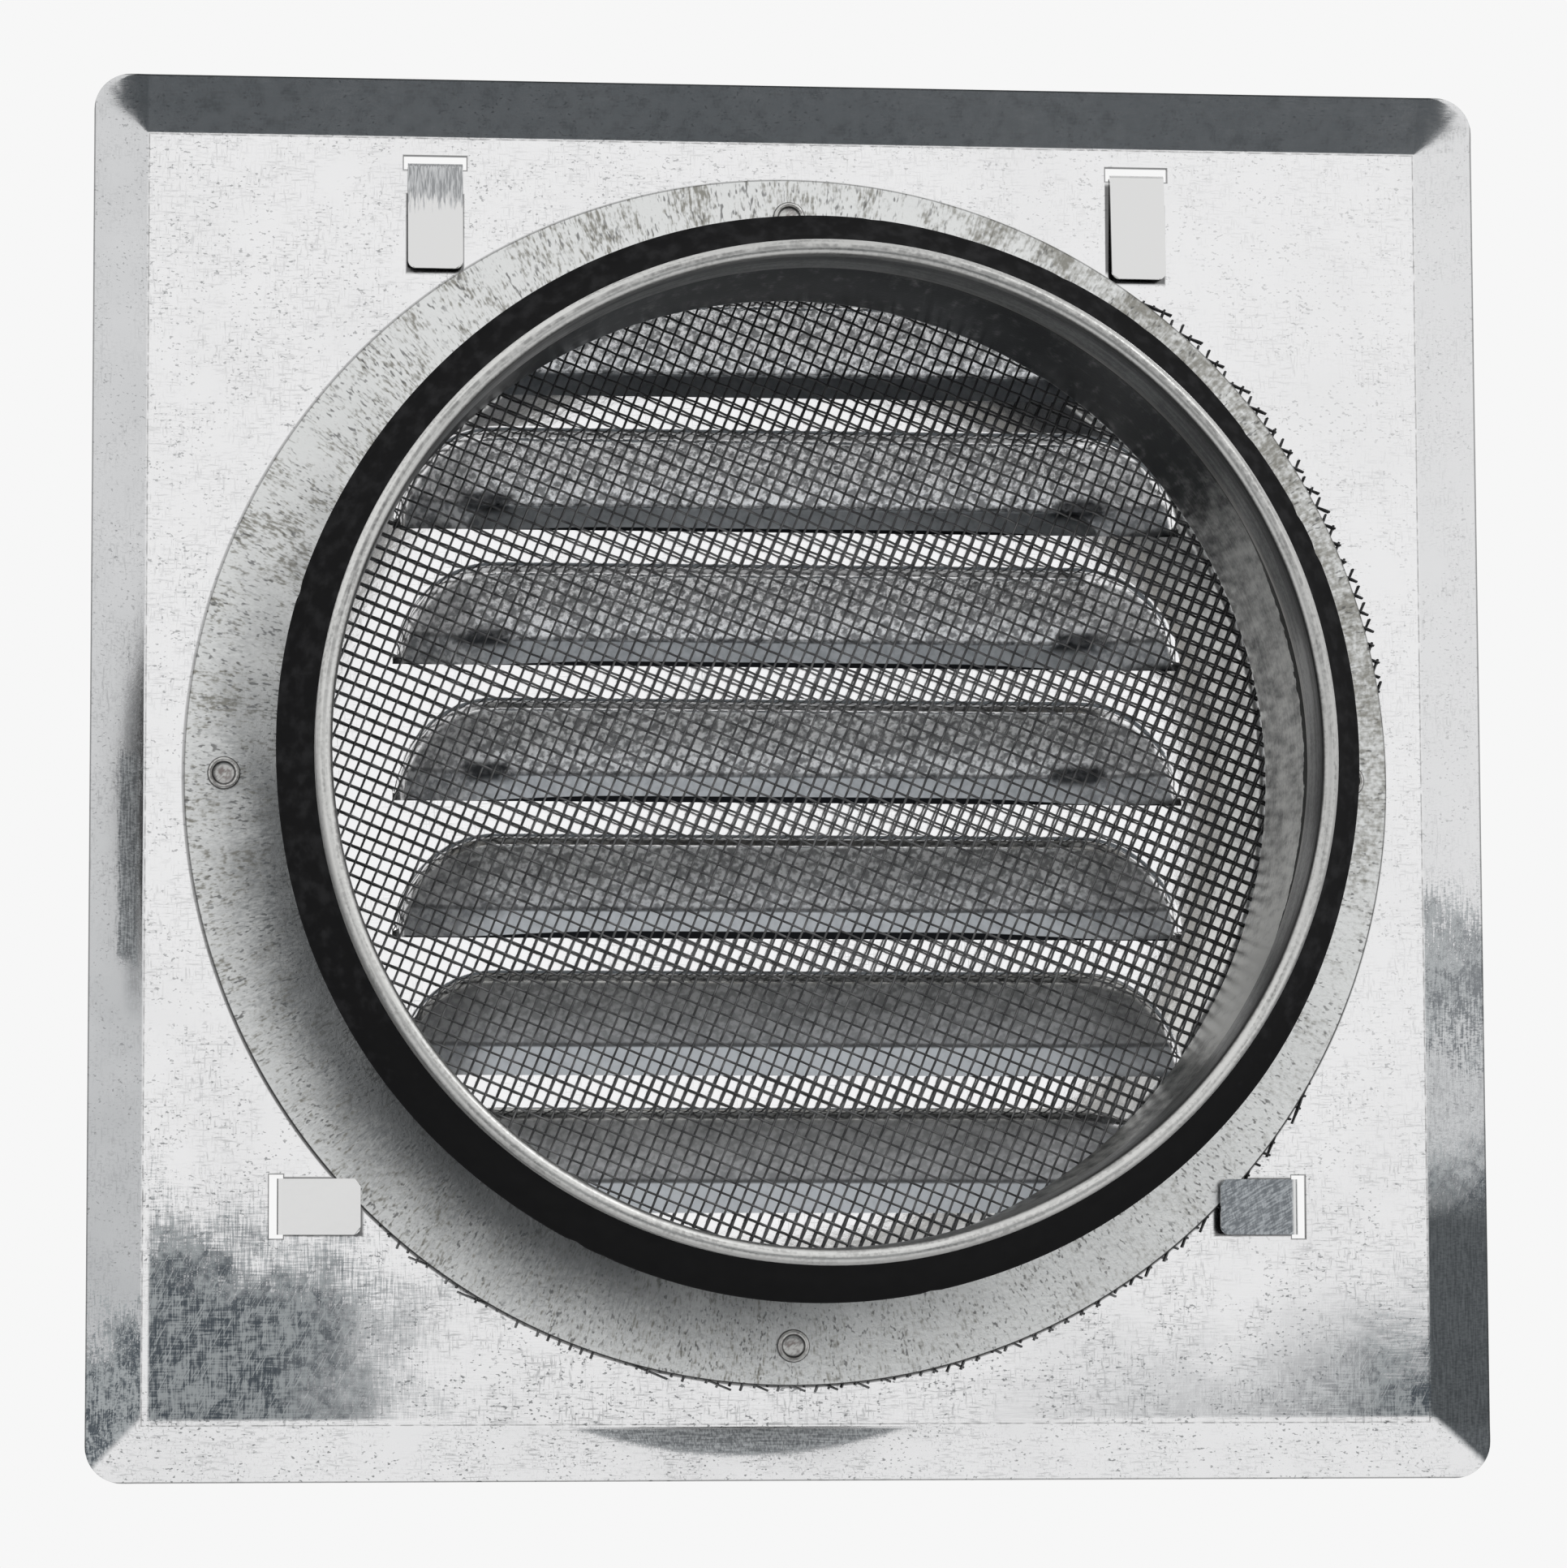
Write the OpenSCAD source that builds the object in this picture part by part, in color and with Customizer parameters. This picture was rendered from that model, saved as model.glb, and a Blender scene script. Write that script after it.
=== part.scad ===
// Square ventilation grille in galvanised sheet, with a round spigot that plugs into a duct.
// It stands as it hangs on a wall: +Z is up, the louvred front looks along -Y and the
// spigot points along +Y, into the wall. The origin lies on the spigot's axis, in the wall
// plane that the back edge of the base plate's rim rests on.

/* [Duct and spigot] */
// Nominal bore of the duct that the spigot plugs into
duct_d = 160; // [140:1:200]
// Radial play between the spigot and the duct
duct_clearance = 0.25; // [0.1:0.05:0.5]
// Length of the spigot, from the flange's seat to the end of its rolled rim
spigot_length = 50; // [42:1:80]
// Thickness of the collar's sheet
collar_sheet = 0.6; // [0.5:0.05:0.8]
// Width of the flat flange round the foot of the spigot
flange_width = 20; // [17:0.5:22]
// Bend radius between flange and spigot, on the sheet's middle
flange_bend_r = 1.6; // [0.8:0.1:2.5]
// How far the seal's seat is pressed in from the spigot's wall
seat_depth = 2.05; // [1.6:0.05:2.6]
// Length of the seat, from the end of the rim to the start of the ramp
seat_length = 10.5; // [9.5:0.5:14]
// Length of the ramp from the seat out to the spigot's full width
ramp_length = 8.5; // [5:0.5:12]
// How far the rolled rim folds back over the seal's strap
fold_length = 6; // [4:0.5:7]

/* [Sealing ring] */
// How far the front lip stands out past the spigot
front_lip_reach = 5.95; // [3:0.05:8]
// How far the rear lip stands out past the spigot
rear_lip_reach = 4.6; // [2:0.05:6]
// How far a lip trails back from its root to its tip
lip_trail = 4.2; // [2:0.1:6]
// Thickness of a lip at its root
lip_root = 1.7; // [1.2:0.1:2.2]
// Thickness of a lip at its tip
lip_tip = 0.8; // [0.5:0.1:1.2]
// Play between the strap and the metal round it
seal_play = 0.06; // [0.02:0.01:0.15]

/* [Base plate] */
// How far the plate's edge lies outside the duct's bore
plate_margin = 35; // [33:0.5:60]
// Thickness of the base plate's sheet
plate_sheet = 0.7; // [0.5:0.05:1.2]
// Width of the sloping rim round the plate
rim_width = 9; // [6:0.25:10]
// How far the rim holds the plate's field off the wall
rim_depth = 4; // [3:0.25:8]
// Radius of the plate's outer corners
corner_r = 6; // [3:0.5:8]
// Radius of the stamped fold between field and rim
rim_bend_r = 1; // [0.4:0.1:2]
// How far the plate's round hole is cut outside the spigot's inner wall
hole_overlap = 0.85; // [0.3:0.05:3]

/* [Louvre panel] */
// Thickness of the louvre panel's sheet
panel_sheet = 0.6; // [0.5:0.05:0.8]
// From the plate's fold to the panel's side edge
panel_side_inset = 22; // [18:0.5:24]
// From the plate's fold to the panel's top or bottom edge
panel_end_inset = 4.5; // [3.5:0.25:6]
// Radius of the panel's corners
panel_corner_r = 5; // [1:0.5:10]
// Distance from one louvre to the next
louvre_pitch = 22.5; // [20:0.5:30]
// Height of a louvre on the panel
louvre_height = 17.35; // [14:0.05:18]
// How far a louvre's hood stands out from the panel
louvre_depth = 7.5; // [5:0.25:10]
// Height of the flat lip along a louvre's open edge
louvre_lip = 5.3; // [3:0.1:7]
// Radius of a louvre's pressed bends
louvre_bend_r = 1.8; // [0.8:0.1:2.5]
// From the panel's side edge to the end of a louvre
louvre_side_margin = 18.3; // [12:0.1:24]
// From the panel's top edge to the top louvre
louvre_top_margin = 20.75; // [16:0.25:28]
// Least height left under the bottom louvre
louvre_foot_margin = 20; // [14:0.5:28]

/* [Tongues and slots] */
// Width of a tongue
tongue_width = 9.1; // [7:0.1:11]
// Bend radius of a tongue, on the sheet's middle
tongue_bend_r = 0.7; // [0.5:0.05:1]
// Corner radius at a tongue's end
tongue_corner_r = 1.3; // [0.5:0.1:2.5]
// From the middle line to each upper tongue
upper_tongue_x = 58.8; // [45:0.1:62]
// From the spigot's axis down to each lower tongue
lower_tongue_z = 70.6; // [66:0.1:80]
// Angle at which the upper tongues spring off the plate
upper_tongue_lift = 4.5; // [2:0.5:8]
// How far the lower tongues grip over the edge of the flange
tongue_grip = 4; // [2:0.5:6]
// Gap under a tongue where it passes over an edge
tongue_gap = 0.15; // [0.05:0.05:0.5]
// Length of a slot
slot_length = 10.4; // [9.6:0.1:13]
// Width of a slot
slot_width = 2.3; // [1.8:0.1:3]
// Play between a slot's near side and the start of the tongue's bend
slot_play = 0.05; // [0.02:0.01:0.2]

/* [Insect mesh] */
// Diameter of the mesh's wire
wire_d = 0.33; // [0.25:0.01:0.5]
// Distance between the steep wires
steep_pitch = 1.9; // [1.5:0.05:2.5]
// Distance between the shallow wires
shallow_pitch = 2.25; // [1.8:0.05:2.8]
// Angle of the shallow wires to the level
mesh_angle = 22.4; // [0:0.1:45]
// How far the cut edge of the mesh shows past the flange
mesh_overhang = 0.6; // [0:0.1:1.5]
// Play of the mesh between the plate and the flange
mesh_play = 0.04; // [0.02:0.01:0.1]
// Wires from one gap in the wall to the next, across the steep and the shallow wires
wires_per_gap = [7, 6]; // [6:1:9]
// How far the outermost gaps stay inside the spigot's inner wall
mesh_rim = 5; // [2:0.5:12]

/* [Rivets] */
// From the flange's edge in to the middle of a rivet
rivet_inset = 6.5; // [5:0.25:8]
// Diameter of a rivet's shank
rivet_shank_d = 3.8; // [3:0.1:4.4]
// Radial play of the shank in its holes
rivet_play = 0.15; // [0.05:0.05:0.3]
// Diameter of the flat head on the front
rivet_head_d = 7; // [6:0.25:8]
// Height of the flat head on the front
rivet_head_h = 1; // [0.6:0.1:1.6]
// Diameter over the rolled ring on the back
rivet_ring_d = 5.4; // [5:0.1:6.5]
// Thickness of the rolled ring's bead
rivet_bead_d = 0.85; // [0.6:0.05:1]

/* [Hidden] */
$fn = 96;
fine_fn = 180;   // for the widest circles
bend_steps = 4;  // steps round a bend of the sheet
wire_sides = 8;  // flats round a wire
over = 1;        // how far a cut runs past what it cuts

// Flat between the two bends of the rolled rim, and the panel's notches beside its tongues
fold_flat = 0.05;
tongue_root = 3;
tongue_relief = 0.8;

// Layers along Y, from the wall plane out to the front
field_back = -rim_depth;
field_front = field_back - plate_sheet;
panel_front = field_front - panel_sheet;
mesh_stack = 2 * wire_d + mesh_play;
flange_seat = field_back + mesh_stack;
flange_back = flange_seat + collar_sheet;

// Radii about the spigot's axis
spigot_r = duct_d / 2 - duct_clearance;
spigot_wall_r = spigot_r - collar_sheet / 2;
bore_r = spigot_r - collar_sheet;
seat_wall_r = spigot_wall_r - seat_depth;
flange_r = spigot_r + flange_width;
mesh_r = flange_r + mesh_overhang;
rivet_circle_r = flange_r - rivet_inset;

// Plate and panel outlines
plate_half = duct_d / 2 + plate_margin;
field_half = plate_half - rim_width;
panel_half_w = field_half - panel_side_inset;
panel_half_h = field_half - panel_end_inset;

// Louvres, counted from the top
louvre_half_w = panel_half_w - louvre_side_margin;
top_cut_z = panel_half_h - louvre_top_margin - louvre_height;
louvre_room = top_cut_z + panel_half_h - louvre_foot_margin;
louvre_cuts = [for (z = [top_cut_z : -louvre_pitch : top_cut_z - louvre_room]) z];

// Where the tongues end, and how steeply the lower ones rise to pass over the flange
upper_tongue_end = edge_at(flange_r, upper_tongue_x - tongue_width / 2) + tongue_gap;
lower_near_z = lower_tongue_z - tongue_width / 2;
lower_tongue_end = edge_at(flange_r, lower_near_z) - tongue_grip;
lower_tongue_run = panel_half_w - edge_at(mesh_r, lower_near_z);
lower_tongue_lift = atan((mesh_stack + collar_sheet + tongue_gap) / lower_tongue_run);

// Half chord of a circle of radius r at a distance d from its middle
function edge_at(r, d) = sqrt(r * r - d * d);

function unit(v) = v / norm(v);
function left_of(d) = [-d[1], d[0]];
function turned(v, a) = [v[0] * cos(a) - v[1] * sin(a), v[0] * sin(a) + v[1] * cos(a)];

// Points and left-hand normals along a line that is rounded where a vertex [x, y, r] has a radius
function bend_samples(path) = [
    [xy(path[0]), left_of(unit(xy(path[1]) - xy(path[0])))],
    for (i = [1 : len(path) - 2])
        let (
            before = unit(xy(path[i]) - xy(path[i - 1])),
            after = unit(xy(path[i + 1]) - xy(path[i])),
            turn = atan2(before[0] * after[1] - before[1] * after[0], before * after),
            reach = path[i][2] * tan(abs(turn) / 2),
            centre = xy(path[i]) - before * reach + left_of(before) * sign(turn) * path[i][2]
        )
        for (k = [0 : bend_steps])
            let (normal = turned(left_of(before), turn * k / bend_steps))
            [centre - normal * sign(turn) * path[i][2], normal],
    let (last = len(path) - 1)
    [xy(path[last]), left_of(unit(xy(path[last]) - xy(path[last - 1])))]
];
function xy(p) = [p[0], p[1]];

// Outline of a bent sheet that lies from a to b to the left of its path
function sheet_outline(path, a, b) =
    let (s = bend_samples(path))
    concat([for (p = s) p[0] + p[1] * a], [for (i = [len(s) - 1 : -1 : 0]) s[i][0] + s[i][1] * b]);

// An upright flat piece whose outline is drawn as seen from the front, from y_back forward
module upright(y_back, thickness) {
    translate([0, y_back, 0]) rotate([90, 0, 0]) linear_extrude(thickness) children();
}

// A turned piece about the spigot's axis, with its profile's second coordinate along +Y
module about_axis(y_start) {
    translate([0, y_start, 0]) rotate([-90, 0, 0]) rotate_extrude() children();
}

module rounded_rectangle(half_w, half_h, r) {
    square([2 * half_w - 2 * r, 2 * half_h], center = true);
    square([2 * half_w, 2 * half_h - 2 * r], center = true);
    for (x = [-1, 1], z = [-1, 1]) translate([x * (half_w - r), z * (half_h - r)]) circle(r);
}

// The four rivet places, as seen from the front
module at_rivets(places = [0, 90, 180, 270]) {
    for (a = places) rotate(a) translate([rivet_circle_r, 0]) children();
}

// Slots that the panel's tongues pass through, drawn from each tongue's place in them
module slot_outlines() {
    near = slot_play + tongue_bend_r;
    for (x = [-upper_tongue_x, upper_tongue_x])
        translate([x - slot_length / 2, panel_half_h - near]) square([slot_length, slot_width]);
    for (side = [-1, 1]) mirror([side < 0 ? 1 : 0, 0])
        translate([panel_half_w - near, -lower_tongue_z - slot_length / 2])
            square([slot_width, slot_length]);
}

// Section of the sloping rim, from the fold outward, with the back face as its path
module rim_section() {
    slope = atan(rim_depth / rim_width);
    fold = rim_bend_r * tan(slope / 2);
    run = rim_width + over;
    path = [[0, 0], [fold, 0, rim_bend_r], [fold + run, run * tan(slope)]];
    polygon(sheet_outline(path, 0, -plate_sheet));
}

// Square plate with a stamped rim that slopes back to the wall, mitred as fans at its corners
module base_plate() {
    color([0.86, 0.87, 0.88])
    difference() {
        intersection() {
            translate([0, field_back, 0]) rotate([-90, 0, 0]) union() {
                translate([0, 0, -plate_sheet / 2])
                    cube([2 * field_half, 2 * field_half, plate_sheet], center = true);
                for (a = [0 : 90 : 270]) rotate(a) {
                    translate([field_half, field_half, 0]) rotate([90, 0, 0])
                        linear_extrude(2 * field_half) rim_section();
                    translate([field_half, field_half, 0]) rotate_extrude(angle = 90) rim_section();
                }
            }
            upright(0, rim_depth + plate_sheet + over) rounded_rectangle(plate_half, plate_half, corner_r);
        }
        upright(field_back + over, plate_sheet + 2 * over) {
            circle(bore_r + hole_overlap, $fn = fine_fn);
            slot_outlines();
            at_rivets() circle(rivet_shank_d / 2 + rivet_play);
        }
    }
}

// Section of a louvre's hood, from its bend out of the panel to its open edge
module hood_section() {
    slope = atan(louvre_depth / (louvre_height - louvre_lip));
    fold = louvre_bend_r * tan(slope / 2);
    path = [[louvre_height, 0], [louvre_height - fold, 0, louvre_bend_r],
            [louvre_lip, louvre_depth, louvre_bend_r], [0, louvre_depth]];
    polygon(sheet_outline(path, -panel_sheet / 2, panel_sheet / 2));
}

// A hood pressed out of the panel, open along its straight lower edge and turned round at its ends
module louvre_hood() {
    straight = louvre_half_w - louvre_height;
    rotate([90, 0, 90]) linear_extrude(2 * straight, center = true) hood_section();
    translate([straight, 0, 0]) rotate_extrude(angle = 90) hood_section();
    translate([-straight, 0, 0]) rotate([0, 0, 90]) rotate_extrude(angle = 90) hood_section();
}

module louvre_window() {
    straight = louvre_half_w - louvre_height;
    translate([-straight, 0]) square([2 * straight, louvre_height]);
    intersection() {
        for (x = [-straight, straight]) translate([x, 0]) circle(louvre_height);
        translate([-louvre_half_w, 0]) square([2 * louvre_half_w, louvre_height]);
    }
}

// A tongue that rises through its slot and is folded over on the back of the plate.
// It lies along +X from its end, and the panel's edge is at x = root.
module tongue(root, end, lift, width) {
    reach = root - end;
    panel_mid = (field_front + panel_front) / 2;
    rest = field_back + panel_sheet / 2 + tongue_gap;
    path = [[root - tongue_root, panel_mid], [root, panel_mid, tongue_bend_r], [root, rest, tongue_bend_r],
            [end - over, rest + (reach + over) * tan(lift)]];
    intersection() {
        linear_extrude(width, center = true)
            polygon(sheet_outline(path, -panel_sheet / 2, panel_sheet / 2));
        translate([end, 0, 0]) rotate([90, 0, 0])
            linear_extrude(2 * reach, center = true)
                translate([reach / 2 + over, 0])
                    rounded_rectangle(reach / 2 + over, width / 2, tongue_corner_r);
    }
}

// Notch in the panel's outline where a tongue bends out of it
module tongue_notch(edge) {
    translate([edge - tongue_root, -tongue_width / 2 - tongue_relief])
        square([tongue_root + over, tongue_width + 2 * tongue_relief]);
}

// Flat panel with rows of pressed hoods, held by four tongues through the base plate
module louvre_panel() {
    color([0.80, 0.81, 0.83]) {
        upright(field_front, panel_sheet) difference() {
            rounded_rectangle(panel_half_w, panel_half_h, panel_corner_r);
            for (z = louvre_cuts) translate([0, z]) louvre_window();
            for (x = [-upper_tongue_x, upper_tongue_x])
                translate([x, 0]) rotate(90) tongue_notch(panel_half_h);
            for (a = [0, 180]) translate([0, -lower_tongue_z]) rotate(a) tongue_notch(panel_half_w);
            at_rivets([90, 270]) circle(rivet_shank_d / 2 + rivet_play);
        }
        translate([0, (field_front + panel_front) / 2, 0]) rotate([90, 0, 0])
            for (z = louvre_cuts) translate([0, z, 0]) louvre_hood();
        for (x = [-upper_tongue_x, upper_tongue_x]) translate([x, 0, 0]) rotate([0, -90, 0])
            tongue(panel_half_h, upper_tongue_end, upper_tongue_lift, tongue_width);
        for (a = [0, 180]) translate([0, 0, -lower_tongue_z]) mirror([a / 180, 0, 0])
            tongue(panel_half_w, lower_tongue_end, lower_tongue_lift, tongue_width);
    }
}

// Woven mesh as one thin wall: its pairs of wires are ridges, with square gaps between them.
// Drawn with the shallow wires level, and then turned to the angle they lie at.
module insect_mesh() {
    spacing = [steep_pitch, shallow_pitch];
    cell = [for (k = [0, 1]) wires_per_gap[k] * spacing[k]];
    reach = [for (k = [0, 1]) ceil(mesh_r / cell[k])];
    color([0.30, 0.31, 0.33])
    translate([0, field_back + mesh_stack / 2, 0]) rotate([90, 0, 0]) rotate(mesh_angle) difference() {
        union() {
            linear_extrude(wire_d, center = true) circle(mesh_r, $fn = fine_fn);
            for (k = [0, 1], i = [-reach[k] : reach[k]], side = [-1, 1])
                mesh_wire((i + 0.5) * cell[k] + side * spacing[k] / 2, k);
        }
        linear_extrude(2 * mesh_stack, center = true) {
            for (i = [-reach[0] : reach[0]], j = [-reach[1] : reach[1]])
                let (place = [i * cell[0], j * cell[1]])
                if (norm(place) < bore_r - mesh_rim)
                    translate(place) square(cell - spacing - [wire_d, wire_d] / 2, center = true);
            rotate(-mesh_angle) at_rivets() circle(rivet_shank_d / 2 + rivet_play);
        }
    }
}

// One wire as a ridge at its distance from the middle: family 0 is steep and lies in front,
// family 1 is shallow and lies behind
module mesh_wire(away, family) {
    length = 2 * edge_at(mesh_r, min(abs(away) + wire_d, mesh_r)) - 2 * wire_d;
    if (length > flange_width) rotate(90 * (1 - family))
        translate([0, family == 0 ? -away : away, (0.5 - family) * wire_d]) rotate([0, 90, 0])
            rotate(180 / wire_sides) cylinder(h = length, d = wire_d, center = true, $fn = wire_sides);
}

// Flange and spigot spun from one sheet, with a waisted seat for the seal and a rim rolled over it
module spigot_collar() {
    fold_r = seat_depth / 2 - fold_flat;
    rim_mid = spigot_length - collar_sheet / 2;
    path = [[flange_r, collar_sheet / 2],
            [spigot_wall_r, collar_sheet / 2, flange_bend_r],
            [spigot_wall_r, spigot_length - seat_length - ramp_length, flange_bend_r],
            [seat_wall_r, spigot_length - seat_length, flange_bend_r],
            [seat_wall_r, rim_mid, fold_r],
            [spigot_wall_r, rim_mid, fold_r],
            [spigot_wall_r, spigot_length - fold_length]];
    color([0.72, 0.73, 0.75])
    difference() {
        about_axis(flange_seat) polygon(sheet_outline(path, -collar_sheet / 2, collar_sheet / 2));
        upright(flange_back + over, collar_sheet + 2 * over)
            at_rivets() circle(rivet_shank_d / 2 + rivet_play);
    }
}

// A lip of the seal, which trails back from its root on the strap to its tip
module seal_lip(root_r, root_s, tip_r) {
    tip_s = root_s - lip_root - lip_trail;
    polygon([[root_r, root_s], [root_r, root_s - lip_root], [tip_r - lip_tip / 2, tip_s],
             [tip_r, tip_s + lip_tip / 2], [tip_r - lip_tip / 4, tip_s + lip_tip]]);
}

// Rubber ring with a strap in the spigot's seat and two lips that seal against the duct
module sealing_ring() {
    strap_in = seat_wall_r + collar_sheet / 2 + seal_play;
    strap_out = spigot_r - collar_sheet - seal_play;
    fold_end = spigot_length - fold_length;
    strap_end = spigot_length - seat_length + seal_play;
    strap_top = spigot_length - collar_sheet / 2 - seat_depth / 2;
    root = (strap_in + strap_out) / 2;
    color([0.09, 0.09, 0.10])
    about_axis(flange_seat) {
        translate([strap_in, strap_end]) square([strap_out - strap_in, strap_top - strap_end]);
        seal_lip(root, fold_end - seal_play, spigot_r + front_lip_reach);
        seal_lip(root, strap_end + lip_root, spigot_r + rear_lip_reach);
    }
}

// Semi-tubular rivet: a flat head on the front and a rolled ring with a flat dimple on the back
module rivet(angle, head_seat) {
    ring_mid = (rivet_ring_d - rivet_bead_d) / 2;
    color([0.82, 0.83, 0.85])
    rotate([0, -angle, 0]) translate([rivet_circle_r, head_seat, 0]) rotate([-90, 0, 0]) rotate_extrude() {
        translate([0, -rivet_head_h]) square([rivet_head_d / 2, rivet_head_h]);
        square([rivet_shank_d / 2, flange_back - head_seat + rivet_bead_d / 2]);
        translate([0, flange_back - head_seat]) square([ring_mid, rivet_bead_d / 2]);
        translate([ring_mid, flange_back - head_seat + rivet_bead_d / 2]) circle(d = rivet_bead_d);
    }
}
module rivet_top() { rivet(90, panel_front); }
module rivet_bottom() { rivet(270, panel_front); }
module rivet_left() { rivet(180, field_front); }
module rivet_right() { rivet(0, field_front); }

base_plate();
louvre_panel();
insect_mesh();
spigot_collar();
sealing_ring();
rivet_top();
rivet_bottom();
rivet_left();
rivet_right();
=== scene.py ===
import math

import bmesh
import bpy
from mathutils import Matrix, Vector, noise


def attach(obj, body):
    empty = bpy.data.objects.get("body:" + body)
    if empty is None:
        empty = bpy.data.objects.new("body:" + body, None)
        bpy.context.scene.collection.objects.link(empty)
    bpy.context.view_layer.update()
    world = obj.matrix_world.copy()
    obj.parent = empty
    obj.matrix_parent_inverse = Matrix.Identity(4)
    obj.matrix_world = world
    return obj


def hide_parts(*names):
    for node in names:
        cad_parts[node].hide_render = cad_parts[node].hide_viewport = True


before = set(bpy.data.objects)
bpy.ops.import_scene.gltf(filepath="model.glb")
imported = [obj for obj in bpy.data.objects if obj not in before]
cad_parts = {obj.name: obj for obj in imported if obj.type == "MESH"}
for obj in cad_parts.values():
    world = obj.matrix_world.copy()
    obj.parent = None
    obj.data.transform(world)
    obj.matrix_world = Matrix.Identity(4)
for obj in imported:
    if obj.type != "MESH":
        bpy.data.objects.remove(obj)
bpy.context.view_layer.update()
mm = 0.001


# Camera: it stands behind the grille, low and to the left, and looks at the side that goes to the wall.
# The place, turn and lens come from the photograph's flange, seal and plate outlines.
camera_place = (100.6 * mm, 768.5 * mm, -73.3 * mm)
camera_turn = 4.486
camera_rise = 4.36
camera_data = bpy.data.cameras.new("camera")
camera_data.lens = 108.69
camera_data.sensor_width = 36.0
camera_data.shift_x = 0.15
camera_data.shift_y = 0.05
camera_data.clip_start = 0.05
camera_data.clip_end = 50.0
camera = bpy.data.objects.new("camera", camera_data)
bpy.context.scene.collection.objects.link(camera)
camera.location = camera_place
turn, rise = math.radians(camera_turn), math.radians(camera_rise)
look = Vector((-math.sin(turn) * math.cos(rise), -math.cos(turn) * math.cos(rise), math.sin(rise)))
camera.rotation_euler = look.to_track_quat("-Z", "Y").to_euler()
bpy.context.scene.camera = camera
bpy.context.scene.view_settings.view_transform = "Standard"


# Room: a white surround that the zinc mirrors, dark only low down behind the camera, and a soft lamp at
# the upper right. The floor catches a shadow near the grille and fades to the white of the surround.
class Socket:
    """An output of a node. Sums and products of it add Math nodes to its tree."""

    def __init__(self, tree, output=None):
        self.tree = tree
        self.output = output

    def node(self, kind, settings=None, inputs=None, output=0):
        made = self.tree.nodes.new(kind)
        for name, value in (settings or {}).items():
            setattr(made, name, value)
        for name, value in (inputs or {}).items():
            if isinstance(value, Socket):
                self.tree.links.new(value.output, made.inputs[name])
            else:
                made.inputs[name].default_value = value
        return Socket(self.tree, made.outputs[output] if made.outputs else None)

    def math(self, operation, *others):
        return self.node("ShaderNodeMath", {"operation": operation}, dict(enumerate((self, *others))))

    def __add__(self, other):
        return self.math("ADD", other)

    def __sub__(self, other):
        return self.math("SUBTRACT", other)

    def __rsub__(self, other):
        return self.math("MULTIPLY_ADD", -1.0, other)

    def __mul__(self, other):
        return self.math("MULTIPLY", other)

    __radd__ = __add__
    __rmul__ = __mul__

    def step(self, low, high):
        """0 below low and 1 above high, smooth between them."""
        return self.node("ShaderNodeMapRange", {"interpolation_type": "SMOOTHSTEP"},
                         {"Value": self, "From Min": low, "From Max": high})

    def blend(self, first, second):
        """The first colour where this is 0 and the second where it is 1."""
        return self.node("ShaderNodeMix", {"data_type": "RGBA"}, {0: self, 6: first, 7: second}, 2)

    def axes(self):
        """The x, y and z of a vector."""
        apart = self.node("ShaderNodeSeparateXYZ", None, {0: self})
        return [Socket(self.tree, output) for output in apart.output.node.outputs]


surround_white = (1.0, 1.0, 1.0, 1.0)
surround_dark = (0.094, 0.104, 0.112, 1.0)
surround_grey = (0.46, 0.47, 0.48, 1.0)
background_white = 0.93
world = bpy.data.worlds.new("room")
bpy.context.scene.world = world
world.use_nodes = True
world.node_tree.nodes.clear()
room = Socket(world.node_tree)
toward = room.node("ShaderNodeTexCoord", output="Generated")
toward_x, toward_y, toward_z = toward.axes()
low_down = (1 - toward_z.step(-0.15, -0.06)) * toward_z.step(-0.66, -0.52)
camera_side = toward_y.step(0.10, 0.40) * (1 - toward_x.math("ABSOLUTE").step(0.40, 0.58))
to_camera = room.node("ShaderNodeLightPath", output="Is Camera Ray")
seen = (low_down * camera_side).blend(surround_white, surround_dark)
front_low = (1 - toward_z.step(-0.30, 0.10)) * toward_z.step(-0.72, -0.48) * (1 - toward_y.step(-0.40, -0.10))
seen = front_low.blend(seen, surround_grey)
seen = to_camera.blend(seen, (background_white,) * 3 + (1.0,))
backdrop = room.node("ShaderNodeBackground", None, {"Color": seen})
room.node("ShaderNodeOutputWorld", None, {"Surface": backdrop})

lamp_place = (-780 * mm, 860 * mm, 920 * mm)
lamp_data = bpy.data.lights.new("soft_lamp", "AREA")
lamp_data.shape = "DISK"
lamp_data.size = 0.36
lamp_data.energy = 1.9
lamp = bpy.data.objects.new("soft_lamp", lamp_data)
bpy.context.scene.collection.objects.link(lamp)
lamp.location = lamp_place
lamp.rotation_euler = (-Vector(lamp_place)).to_track_quat("-Z", "Y").to_euler()

floor_level = -300 * mm
floor_radius = 2600 * mm
floor_mesh = bpy.data.meshes.new("floor")
floor_form = bmesh.new()
bmesh.ops.create_circle(floor_form, cap_ends=True, segments=64, radius=floor_radius)
bmesh.ops.translate(floor_form, verts=floor_form.verts, vec=(0, 0, floor_level))
floor_form.to_mesh(floor_mesh)
floor_form.free()
floor = bpy.data.objects.new("floor", floor_mesh)
bpy.context.scene.collection.objects.link(floor)
floor_paint = bpy.data.materials.new("pale_floor")
floor_paint.use_nodes = True
floor_paint.node_tree.nodes.clear()
paint = Socket(floor_paint.node_tree)
place_x, place_y, place_z = paint.node("ShaderNodeTexCoord", output="Object").axes()
away = (place_x * place_x + place_y * place_y).math("SQRT").step(0.25, 0.9)
pale = paint.node("ShaderNodeBsdfDiffuse", None, {"Color": (0.82, 0.82, 0.82, 1.0)})
white = paint.node("ShaderNodeEmission", None, {"Color": (background_white,) * 3 + (1.0,)})
clear = paint.node("ShaderNodeBsdfTransparent")
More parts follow.
